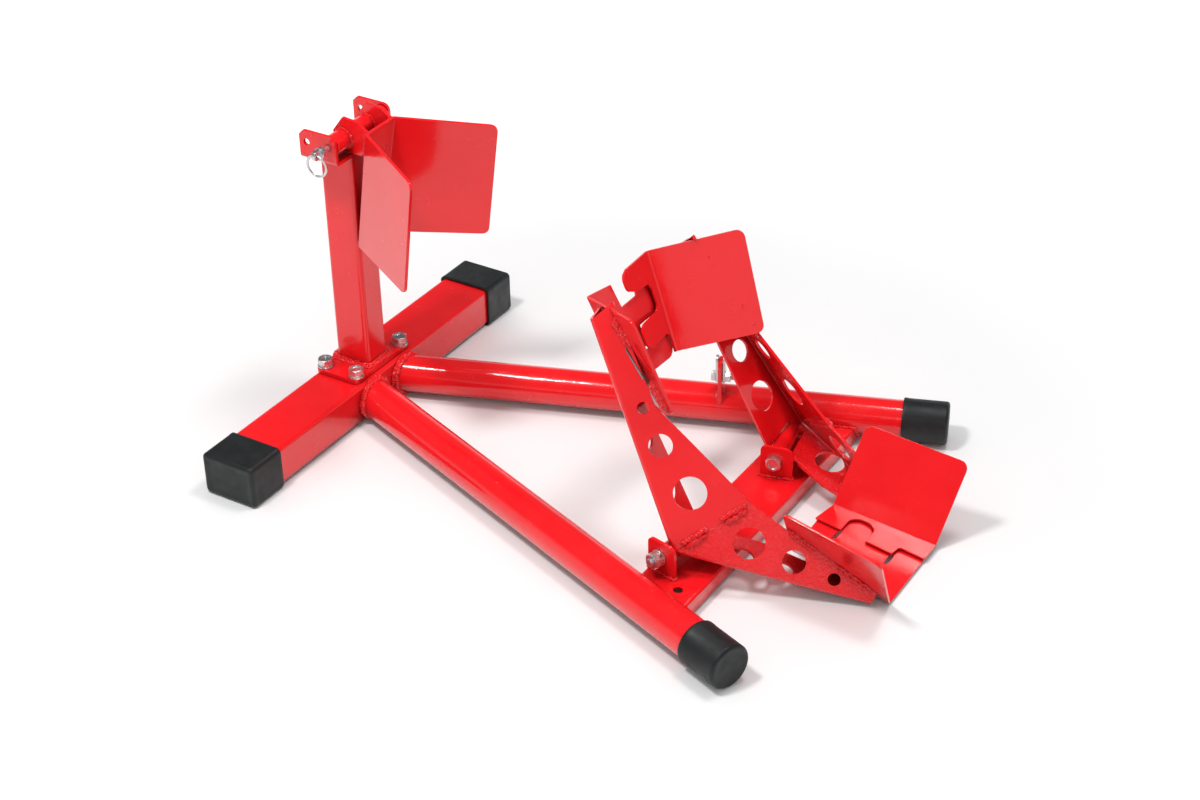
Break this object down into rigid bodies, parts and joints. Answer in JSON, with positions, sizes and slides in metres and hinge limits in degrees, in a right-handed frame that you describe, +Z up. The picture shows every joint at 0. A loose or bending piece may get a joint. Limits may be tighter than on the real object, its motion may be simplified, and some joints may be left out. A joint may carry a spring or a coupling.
{
  "type": "motorcycle wheel stand",
  "caption": "Floor stand that holds a motorcycle's front wheel: tubular A-frame, post with a swinging V stop, and a two-sided rocking cradle on splayed pivots.",
  "frame": {"origin": "on the floor, at the bottom centre of the whole stand's box in its rest pose", "axes": "+X from the crossbar to the open ends of the legs, where the wheel rolls in; +Y along the crossbar to the right side; +Z up"},
  "size_m": [0.8108, 0.5932, 0.403],
  "materials": {
    "red_powder_coat": "glossy powder coat",
    "black_rubber": "satin moulded rubber",
    "zinc_plate": "bright zinc plate"
  },
  "bodies": {
    "frame": {"crossbar": "red_powder_coat", "base_plate": "red_powder_coat", "post": "red_powder_coat", "leg_left": "red_powder_coat", "leg_right": "red_powder_coat", "cross_member": "red_powder_coat", "top_bracket": "red_powder_coat", "pivot_lug_left_inner": "red_powder_coat", "pivot_lug_left_outer": "red_powder_coat", "pivot_lug_right_inner": "red_powder_coat", "pivot_lug_right_outer": "red_powder_coat", "anchor_tab": "red_powder_coat", "boot_left": "black_rubber", "boot_right": "black_rubber", "leg_cap_left": "black_rubber", "leg_cap_right": "black_rubber", "base_bolt_1": "zinc_plate", "base_bolt_2": "zinc_plate", "base_bolt_3": "zinc_plate", "base_bolt_4": "zinc_plate", "base_washer_1": "zinc_plate", "base_washer_2": "zinc_plate", "base_washer_3": "zinc_plate", "base_washer_4": "zinc_plate", "base_spring_washer_1": "zinc_plate", "base_spring_washer_2": "zinc_plate", "base_spring_washer_3": "zinc_plate", "base_spring_washer_4": "zinc_plate", "pivot_spring_washer_left": "zinc_plate", "pivot_spring_washer_right": "zinc_plate", "pivot_bolt_left": "zinc_plate", "pivot_bolt_right": "zinc_plate", "pivot_washer_left": "zinc_plate", "pivot_washer_right": "zinc_plate", "pivot_nut_left": "zinc_plate", "pivot_nut_right": "zinc_plate", "anchor_bolt": "zinc_plate", "anchor_nut": "zinc_plate"},
    "stop": {"stop_plate": "red_powder_coat", "stop_lug_left": "red_powder_coat", "stop_lug_right": "red_powder_coat", "stop_sleeve": "red_powder_coat"},
    "lock_pin": {"lock_pin": "zinc_plate"},
    "pin_ring": {"pin_ring": "zinc_plate"},
    "rocker_left": {"cradle_upper_left": "red_powder_coat", "cradle_lower_left": "red_powder_coat", "arm_upper_left": "red_powder_coat", "arm_lower_left": "red_powder_coat", "rocker_sleeve_left": "red_powder_coat"},
    "rocker_right": {"cradle_upper_right": "red_powder_coat", "cradle_lower_right": "red_powder_coat", "arm_upper_right": "red_powder_coat", "arm_lower_right": "red_powder_coat", "rocker_sleeve_right": "red_powder_coat"},
    "anchor_links": {"anchor_link_1": "zinc_plate", "anchor_link_2": "zinc_plate"}
  },
  "joints": [
    {"name": "rocker_right_pivot", "type": "hinge", "parent": "frame", "child": "rocker_right", "pos_m": [0.1699, 0.115, 0.0445], "axis": [0.2164, -0.9763, 0], "range_deg": [0, 50]},
    {"name": "rocker_left_pivot", "type": "hinge", "parent": "frame", "child": "rocker_left", "pos_m": [0.1699, -0.115, 0.0445], "axis": [-0.2164, -0.9763, 0], "range_deg": [0, 50]},
    {"name": "stop_swing", "type": "hinge", "parent": "frame", "child": "stop", "pos_m": [-0.3516, 0, 0.376], "axis": [0, -1, 0], "range_deg": [0, 100]},
    {"name": "lock_pin_pull", "type": "slide", "parent": "frame", "child": "lock_pin", "axis": [0, -1, 0], "range_m": [0, 0.118]},
    {"name": "pin_ring_swing", "type": "hinge", "parent": "lock_pin", "child": "pin_ring", "pos_m": [-0.3516, -0.078, 0.376], "axis": [1, 0, 0], "range_deg": [-80, 30]},
    {"name": "anchor_link_swing", "type": "hinge", "parent": "frame", "child": "anchor_links", "pos_m": [0.0545, 0.16357, 0.073], "axis": [0.9373, 0.3486, 0], "range_deg": [-105, 105]}
  ],
  "couplings": [
    {"joint": "rocker_left_pivot", "follows": "rocker_right_pivot", "ratio": 1}
  ]
}
